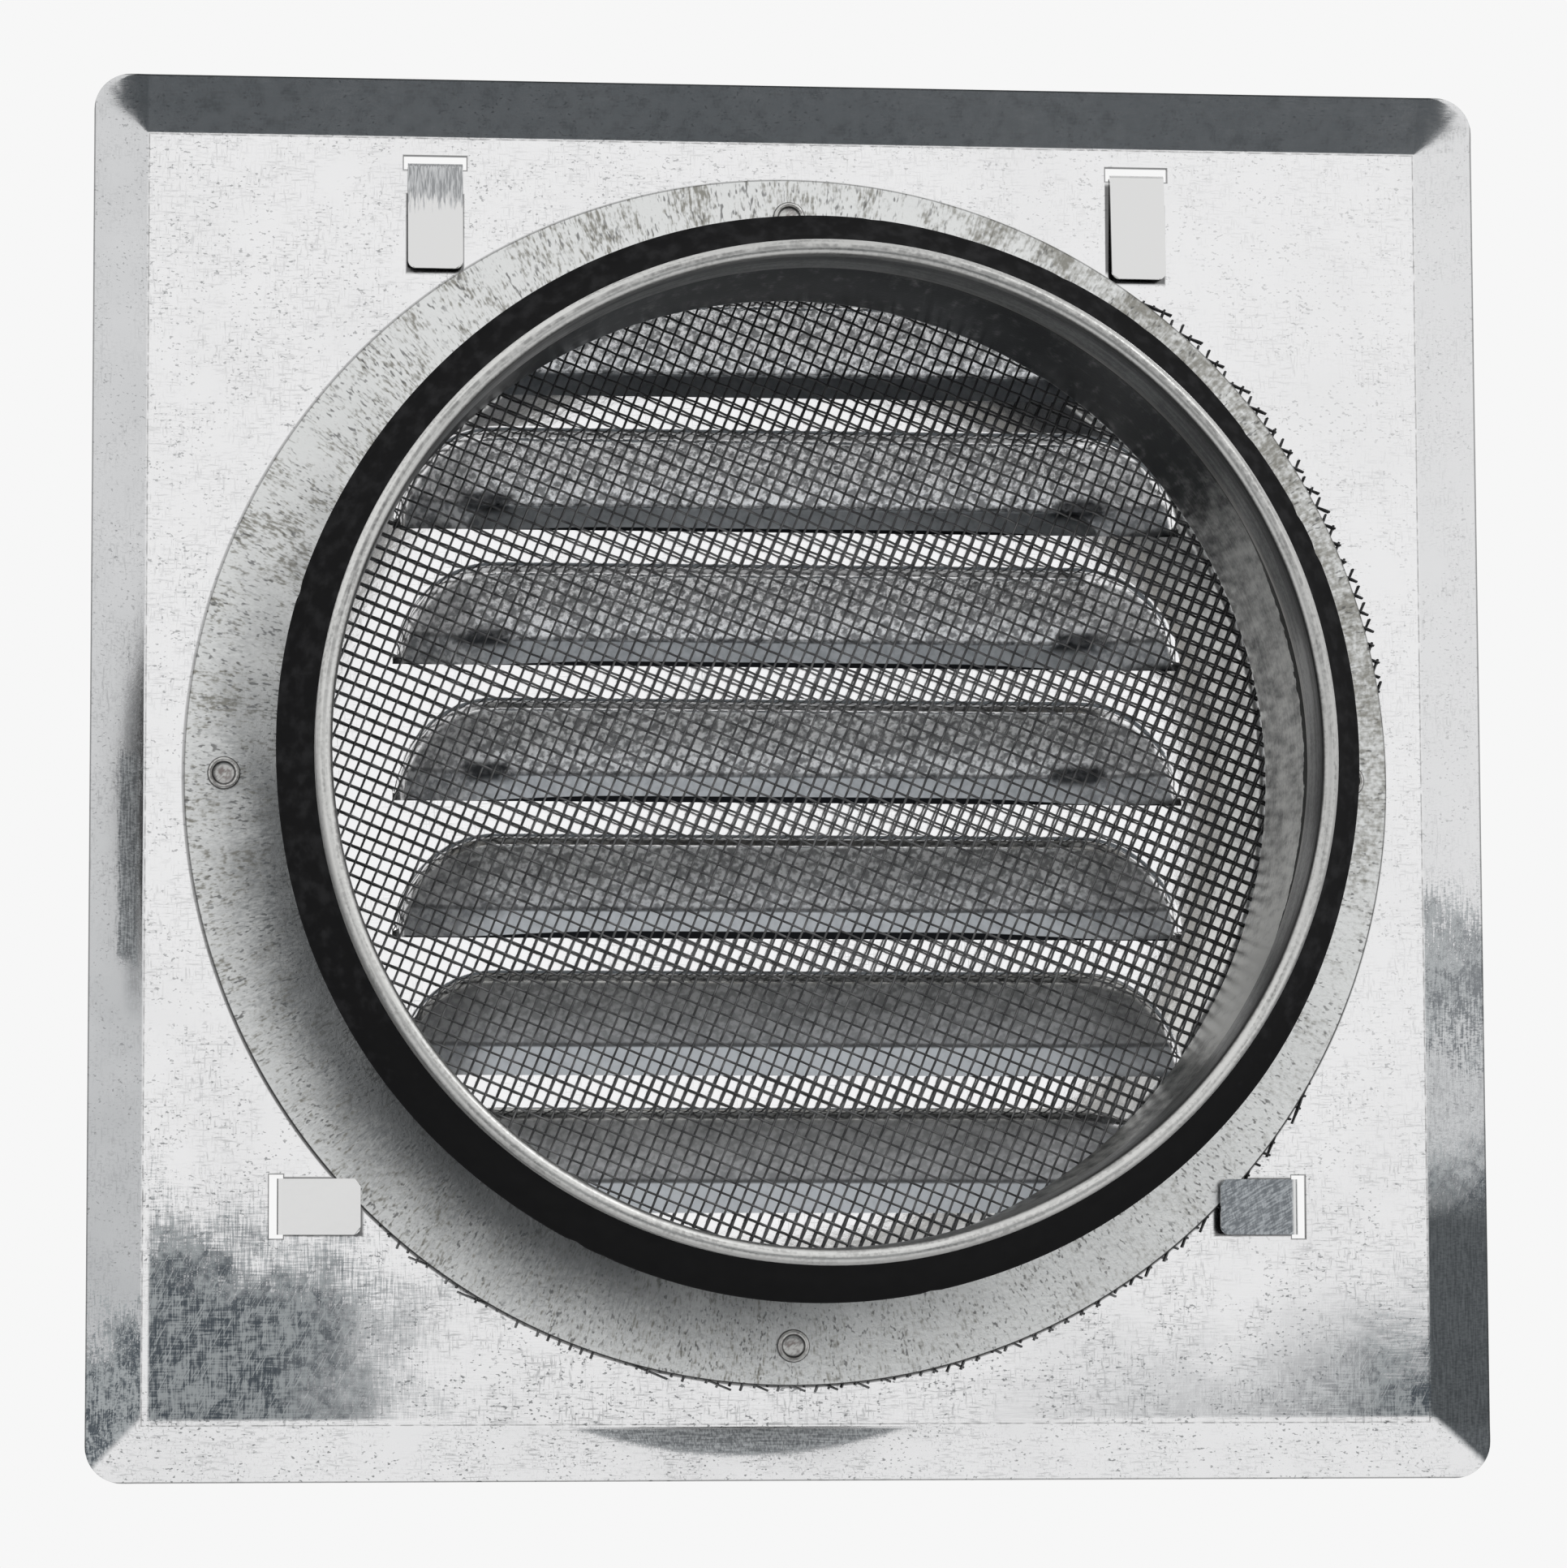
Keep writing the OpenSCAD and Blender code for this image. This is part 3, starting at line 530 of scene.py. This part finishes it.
def turned(name, outline, start, steps=256, wobble=None):
    """A closed outline of (r, s) points turned round the spigot's axis, with s measured from start along +Y."""
    form = bmesh.new()
    rings = []
    for k in range(steps):
        a = 2 * math.pi * k / steps
        ring = []
        for r, s in outline:
            if wobble:
                r, s = wobble(r, s, a)
            ring.append(form.verts.new((r * math.cos(a), start + s, r * math.sin(a))))
        rings.append(ring)
    for k in range(steps):
        here, there = rings[k], rings[(k + 1) % steps]
        for n in range(len(outline)):
            after = (n + 1) % len(outline)
            face = form.faces.new((here[n], here[after], there[after], there[n]))
            face.smooth = True
    bmesh.ops.remove_doubles(form, verts=form.verts, dist=0.0005 * mm)
    bmesh.ops.recalc_face_normals(form, faces=form.faces)
    mesh = bpy.data.meshes.new(name)
    form.to_mesh(mesh)
    form.free()
    mesh.set_sharp_from_angle(angle=math.radians(40))
    piece = bpy.data.objects.new(name, mesh)
    bpy.context.scene.collection.objects.link(piece)
    return piece


fold_radius = 0.975 * mm
rim_middle = spigot_length - collar_sheet / 2
path = [(flange_radius, collar_sheet / 2, 0), (spigot_wall, collar_sheet / 2, 1.6 * mm),
        (spigot_wall, 31 * mm, 1.6 * mm), (seat_wall, 39.5 * mm, 1.6 * mm),
        (seat_wall, rim_middle, fold_radius), (spigot_wall, rim_middle, fold_radius),
        (spigot_wall, 44 * mm, 0)]
samples = bent(path)
outline = [p - n * collar_sheet / 2 for p, n in samples] + [p + n * collar_sheet / 2 for p, n in reversed(samples)]


def spun_wobble(r, s, a):
    """Slight waves that spinning leaves in the rolled rim and in the flange's edge."""
    wave = noise.noise(Vector((3 * math.cos(a), 3 * math.sin(a), s / (12 * mm))))
    rolled = max(0.0, (s - 43 * mm) / (7 * mm))
    return r + wave * rolled * 0.10 * mm, s + wave * rolled * 0.06 * mm


collar = turned("spun_collar", [tuple(p) for p in outline], flange_seat, wobble=spun_wobble)
collar_zinc, tree, place = coat("collar_zinc")
across, depth, up = place.axes()
radius = (across * across + up * up).math("SQRT")
clouds = cloud(place, 16.0)
round_x, round_z = across.math("DIVIDE", radius), up.math("DIVIDE", radius)
blotches = cloud(place, 4.5, 4.0)
outward = tree.node("ShaderNodeCombineXYZ", None, {0: round_x * 22 + blotches * 0.5, 2: round_z * 22})
pressed = tree.node("ShaderNodeTexNoise", {"noise_dimensions": "4D"},
                    {"Vector": outward, "W": radius * 0.12 - across * 0.03, "Scale": 1.0, "Detail": 4.0})
outward = tree.node("ShaderNodeCombineXYZ", None, {0: round_x * 230, 2: round_z * 230})
grain = tree.node("ShaderNodeTexNoise", {"noise_dimensions": "4D"},
                  {"Vector": outward, "W": radius * 0.55 + across * 0.2, "Scale": 1.0, "Detail": 2.0})
dashes = tree.node("ShaderNodeTexNoise", {"noise_dimensions": "4D"},
                   {"Vector": outward, "W": radius * 1.1 - up * 0.3, "Scale": 0.8, "Detail": 1.0})
dashes = dashes.step(0.57, 0.68) * cloud(place, 4.0, 3.0).step(0.36, 0.58)
flange = 1 - depth.step(-2.6, -1.5)
upper_left = (across * 0.7 + up * 0.7).step(-20.0, 60.0)
# The flange is painted darker at the upper right as shade, over its rolling streaks, grain and blotches.
upper_right_shade = (up * 0.5 - across * 0.87).step(60.0, 96.0)
streaks_and_shade = (pressed - 0.50) * (upper_left * 2.2 + 0.8) + (grain - 0.5) * (0.9 + across.step(-60.0, 20.0) * 2.3) + (blotches - 0.5) * 0.8 + (cloud(place, 0.9) - 0.5) * 1.7 + upper_right_shade * 0.50
colour = (streaks_and_shade + 0.09).step(0.0, 1.0).blend((0.72, 0.73, 0.725, 1.0), (0.27, 0.265, 0.24, 1.0))
colour = (dashes * 0.75).blend(colour, (0.10, 0.10, 0.10, 1.0))
# A painted shadow of the seal, dark bluish, lies on the flange beside it at the lower left.
lower_left = (across * 0.55 - up * 0.42 + (clouds - 0.5) * 40).step(10.0, 60.0)
seal_shadow = 1 - (radius + (grain - 0.5) * 15 + (clouds - 0.5) * 10).step(85.0, 100.5)
colour = (lower_left * seal_shadow * 0.85).blend(colour, (0.10, 0.107, 0.112, 1.0))
# The flange's edge gets a dark joint line, made stronger low down as painted shade.
flange_edge = flange * radius.step(99.50, 99.62) * (1 - up.step(-60.0, 20.0) * 0.45)
colour = flange_edge.blend(colour, (0.06, 0.06, 0.06, 1.0))
bare = (0.66, 0.66, 0.645, 1.0)
colour = flange.blend(bare, colour)

about = tree.node("ShaderNodeCombineXYZ", None, {0: round_x * 7, 1: depth * 0.9, 2: round_z * 7})
drawn = tree.node("ShaderNodeTexNoise", {"noise_dimensions": "4D"}, {"Vector": about, "W": radius * 2.2, "Scale": 1.0, "Detail": 3.0})
rim = depth.step(36.0, 45.0)
speckled = cloud(place, 0.6, 2.0).step(0.40, 0.62)
colour = (rim * ((drawn - 0.47) * 1.8 + speckled * 0.25)).step(0.0, 1.0).blend(colour, (0.20, 0.20, 0.195, 1.0))
bore = (1 - radius.step(79.22, 79.32)) * depth.step(-2.6, -1.0)
wall = bore * (1 - depth.step(27.2, 28.4))
right_side = (round_x * -1).step(0.74, 0.92)
smudges = cloud(place, 1.8, 4.0, (1.0, 4.0, 1.0))
# The spigot's inside is painted dark as shade, lighter on the right side and low down, with smudges and streaks.
wall_shade_and_smudges = right_side * (0.80 + depth.step(2.0, 27.0) * 0.25) + (1 - up.step(-45.0, -5.0)) * 0.75
wall_shade_and_smudges = wall_shade_and_smudges + (drawn - 0.5) * 0.6 + (smudges - 0.5) * 1.9 + (speckled - 0.5) * 0.16
wall_shade_and_smudges = wall_shade_and_smudges.step(0.0, 1.5).blend((0.026, 0.0275, 0.030, 1.0), (0.78, 0.78, 0.75, 1.0))
colour = wall.blend(colour, wall_shade_and_smudges)
# The rolled rim is painted darker in rings and at the upper right, as painted reflection and shade: a dip in
# the upper half, its outer edge in the lower half and its inner edge all round.
upper_half = round_z.step(-0.20, 0.40)
rim_front = depth.step(45.2, 45.9)
rim_dip = within(radius, 78.25, 78.80, 0.15) * rim_front * upper_half * (0.30 + cloud(place, 1.6, 2.0).step(0.35, 0.6) * 0.35)
rim_outside = radius.step(78.75, 79.55) * rim_front * (1 - upper_half) * 0.62
rim_inside = (1 - radius.step(76.9, 78.1)) * rim_front * (0.55 + upper_half * 0.30)
rim_shade = rim_front * (up * 0.7 - across * 0.7).step(10.0, 60.0) * 0.30
rim_inside = rim_inside.math("MAXIMUM", rim_shade)
colour = rim_dip.math("MAXIMUM", rim_outside).math("MAXIMUM", rim_inside).blend(colour, (0.12, 0.12, 0.12, 1.0))
ramp = bore * within(depth, 28.2, 38.0, 3.0)
worn = ((drawn - 0.5) * 2.4 + (speckled - 0.5) * 0.35 + (smudges - 0.5) * 0.8 + 0.5).step(0.0, 1.0)
colour = (ramp * 0.85).blend(colour, worn.blend((0.10, 0.092, 0.078, 1.0), (0.24, 0.226, 0.195, 1.0)))
seat = bore * within(depth, 37.0, 45.4, 0.8)
colour = (seat * 0.85).blend(colour, worn.blend((0.10, 0.10, 0.097, 1.0), (0.33, 0.332, 0.325, 1.0)))
# Painted shade under the rolled rim: a band in the seat, stronger in the upper half, and a darker one on the right.
under_roll = bore * within(depth, 42.6, 45.4, 0.7) * (0.25 + upper_half * 0.30)
colour = under_roll.blend(colour, (0.05, 0.05, 0.048, 1.0))
right_arc = (round_x * -1).step(0.86, 0.97)
under_rim = bore * within(depth, 44.7, 46.2, 0.25) * (round_x * -1).step(0.30, 0.60)
colour = (under_rim * 0.70).blend(colour, (0.04, 0.04, 0.04, 1.0))
uneven = depth + (cloud(place, 1.6) - 0.5) * 3.0 * right_arc
ramp_line = bore * within(uneven, 27.4 - right_arc * 2.2, 28.1, 0.15)
colour = (ramp_line * (0.8 + right_arc * 0.17)).blend(colour, (0.014, 0.014, 0.013, 1.0))
bump = tree.node("ShaderNodeBump", None, {"Strength": 0.15, "Distance": 0.00005, "Height": speckled})
zinc = tree.node("ShaderNodeBsdfPrincipled", None,
                 {"Base Color": colour, "Roughness": 0.24 + clouds * 0.14 + wall * 0.10 + rim * 0.06 + ramp_line * 0.4, "Metallic": 1 - ramp_line, "Normal": bump})
tree.node("ShaderNodeOutputMaterial", None, {"Surface": zinc})
collar.data.materials.append(collar_zinc)
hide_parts("spigot_collar")
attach(collar, "root")


# Sealing ring: extruded black rubber with a strap that the rolled rim holds down and two trailing lips.
# It is matt, with a few nicks in the edge of the front lip.
strap_in = 77.76 * mm
strap_out = 79.09 * mm
strap_end = 39.56 * mm
strap_top = 48.675 * mm
lip_root = 1.7 * mm
lip_tip = 0.8 * mm
lip_trail = 4.2 * mm


def lip(root_s, tip_r):
    """A lip's outline from the strap's outer face round its tip and back."""
    root_r = (strap_in + strap_out) / 2
    tip_s = root_s - lip_root - lip_trail
    share = (strap_out - root_r) / (tip_r - root_r)
    low = (strap_out, root_s - lip_root - share * lip_trail)
    high = (strap_out, root_s - share * (lip_root + lip_trail - lip_tip))
    tip = [(tip_r - lip_tip * (0.5 - 0.5 * math.sin(a)), tip_s + lip_tip * (0.5 - 0.5 * math.cos(a)))
           for a in (math.radians(d) for d in (0, 35, 70, 105, 140, 180))]
    middle = [tuple(Vector(low).lerp(Vector(tip[0]), 0.5)), *tip, tuple(Vector(tip[-1]).lerp(Vector(high), 0.5))]
    return [low, *middle, high]


seal_outline = [(strap_in, strap_end), *lip(strap_end + lip_root, 84.35 * mm), *lip(43.94 * mm, 85.70 * mm),
                (strap_out, strap_top), (strap_in, strap_top)]


def lip_wobble(r, s, a):
    """The lips wave a little, and the front lip's edge has small nicks."""
    out = max(0.0, (r - 80 * mm) / (5.7 * mm))
    wave = noise.noise(Vector((2.5 * math.cos(a), 2.5 * math.sin(a), s / (20 * mm))))
    nick = max(0.0, noise.noise(Vector((34 * math.cos(a), 34 * math.sin(a), 2.0))) - 0.45)
    return r + out * (wave * 0.30 - nick * 0.9) * mm, s + out * wave * 0.35 * mm


seal = turned("rubber_seal", seal_outline, flange_seat, steps=320, wobble=lip_wobble)
seal_rubber, tree, place = coat("seal_rubber")
dust = cloud(place, 2.5)
# The rubber is painted darker low down, as shade, over its dust.
shaded = 1 - place.axes()[2].step(-82.0, -30.0)
colour = (dust - shaded * 0.50).step(0.4, 0.75).blend((0.0032, 0.0032, 0.0036, 1.0), (0.016, 0.016, 0.017, 1.0))
bump = tree.node("ShaderNodeBump", None, {"Strength": 0.2, "Distance": 0.0001, "Height": dust})
rubber = tree.node("ShaderNodeBsdfPrincipled", None,
                   {"Base Color": colour, "Roughness": 0.62 + dust * 0.2, "Normal": bump, "Specular IOR Level": 0.12})
tree.node("ShaderNodeOutputMaterial", None, {"Surface": rubber})
seal.data.materials.append(seal_rubber)
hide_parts("sealing_ring")
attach(seal, "root")


# Rivets: four semi-tubular rivets of bright plated steel, set last. Their flat heads are on the front, and
# on the back the tube is rolled into a ring round a flat dimple. The upper and lower ones hold the panel too.
flange_back = -2.70
plate_front = -4.70
panel_sheet = 0.6
shank_r = 1.9
head_r = 3.5
head_h = 1.0
ring_mid = 2.275
bead_r = 0.425
rivet_circle = 93.25

bead_middle = flange_back + bead_r
bead = [(ring_mid + bead_r * math.cos(a), bead_middle + bead_r * math.sin(a))
        for a in (math.radians(d) for d in range(180, -91, -15))]
rivet_outline = [(0.0, bead_middle - 0.10), (1.2, bead_middle - 0.10), (1.62, bead_middle - 0.08), (1.78, bead_middle - 0.02), *bead,
                 (shank_r, flange_back), (shank_r, plate_front), (head_r - 0.15, plate_front), (head_r, plate_front - 0.15),
                 (head_r, plate_front - head_h + 0.30), (head_r - 0.10, plate_front - head_h + 0.09),
                 (head_r - 0.32, plate_front - head_h), (0.0, plate_front - head_h)]
rivet_form = turned("rivet_form", [(r * mm, s * mm) for r, s in rivet_outline], 0.0, steps=56)

rivet_set = bpy.data.node_groups.new("rivet_set", "GeometryNodeTree")
for label, kind in (("Rivet", "Geometry"), ("Rivets", "Int"), ("Circle", "Float"), ("Head above", "Float"), ("Panel sheet", "Float")):
    rivet_set.interface.new_socket(name=label, in_out="INPUT", socket_type="NodeSocket" + kind)
rivet_set.interface.new_socket(name="Rivets set", in_out="OUTPUT", socket_type="NodeSocketGeometry")
given = rivet_set.nodes.new("NodeGroupInput")
size = {output.name: Socket(rivet_set, output) for output in given.outputs if output.name}
hole = Socket(rivet_set)
here = hole.node("GeometryNodeInputPosition")
one = hole.node("GeometryNodeStoreNamedAttribute", {"data_type": "FLOAT_VECTOR", "domain": "POINT"},
                {"Geometry": size["Rivet"], "Name": "on_rivet", "Value": here})
angle = hole.node("GeometryNodeInputIndex") * (math.pi / 2)
hole_place = hole.node("ShaderNodeCombineXYZ", None, {0: angle.math("COSINE") * size["Circle"], 2: angle.math("SINE") * size["Circle"]})
holes = hole.node("GeometryNodePoints", None, {"Count": size["Rivets"], "Position": hole_place})
spin = hole.node("ShaderNodeCombineXYZ", None, {1: hole.node("GeometryNodeInputIndex") * 1.9})
rivets = hole.node("GeometryNodeInstanceOnPoints", None, {"Points": holes, "Instance": one, "Rotation": spin})
rivets = hole.node("GeometryNodeRealizeInstances", None, {"Geometry": rivets})
here_x, here_y, here_z = here.axes()
on_panel = here_y.math("LESS_THAN", size["Head above"]) * here_z.math("ABSOLUTE").math("GREATER_THAN", 50 * mm)
drop = hole.node("ShaderNodeCombineXYZ", None, {1: size["Panel sheet"] * -1})
rivets = hole.node("GeometryNodeSetPosition", None, {"Geometry": rivets, "Selection": on_panel, "Offset": drop})

rivet_steel, tree, place = coat("rivet_steel")
on_x, on_y, on_z = tree.node("ShaderNodeAttribute", {"attribute_name": "on_rivet"}, None, "Vector").axes()
off_axis = (on_x * on_x + on_z * on_z).math("SQRT") * (1 / mm)
smear = cloud(place, 0.9, 4.0) + cloud(place, 0.25, 2.0, (5.0, 1.0, 1.0), 40.0) * 0.5
dimple = (1 - off_axis.step(1.70, 1.86)) * on_y.step(-3.2 * mm, -2.9 * mm)
colour = smear.step(0.6, 0.95).blend((0.56, 0.56, 0.545, 1.0), (0.31, 0.30, 0.295, 1.0))
colour = (dimple * (smear - 0.72).step(-0.05, 0.20) * (1 - off_axis.step(0.6, 1.6)) * 0.8).blend(colour, (0.26, 0.22, 0.21, 1.0))
# Painted shade: a dark line at the ring's root round the dimple and round its outer foot on the flange.
ring_root = on_y.step(-3.4 * mm, -3.0 * mm) * within(off_axis, 1.66, 1.96, 0.06)
ring_root = ring_root.math("MAXIMUM", off_axis.step(2.44, 2.58) * on_y.step(-3.0 * mm, -2.9 * mm))
colour = (ring_root * 0.85).blend(colour, (0.05, 0.05, 0.05, 1.0))
bump = tree.node("ShaderNodeBump", None, {"Strength": 0.25, "Distance": 0.00005, "Height": smear})
steel = tree.node("ShaderNodeBsdfPrincipled", None,
                  {"Base Color": colour, "Roughness": 0.24 + smear * 0.1, "Metallic": 1.0, "Normal": bump})
tree.node("ShaderNodeOutputMaterial", None, {"Surface": steel})
rivets = hole.node("GeometryNodeSetMaterial", None, {"Geometry": rivets, "Material": rivet_steel})
hole.node("NodeGroupOutput", None, {0: rivets})

setter = rivet_form.modifiers.new("rivet_set", "NODES")
setter.node_group = rivet_set
sizes = {"Rivets": 4, "Circle": rivet_circle * mm, "Head above": (plate_front + 0.1) * mm, "Panel sheet": panel_sheet * mm}
for item in rivet_set.interface.items_tree:
    if item.in_out == "INPUT" and item.name in sizes:
        setter[item.identifier] = sizes[item.name]
made = rivet_form.evaluated_get(bpy.context.evaluated_depsgraph_get())
rivets = bpy.data.objects.new("rivets", bpy.data.meshes.new_from_object(made))
bpy.context.scene.collection.objects.link(rivets)
bpy.data.objects.remove(rivet_form)
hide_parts("rivet_top", "rivet_bottom", "rivet_left", "rivet_right")
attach(rivets, "root")
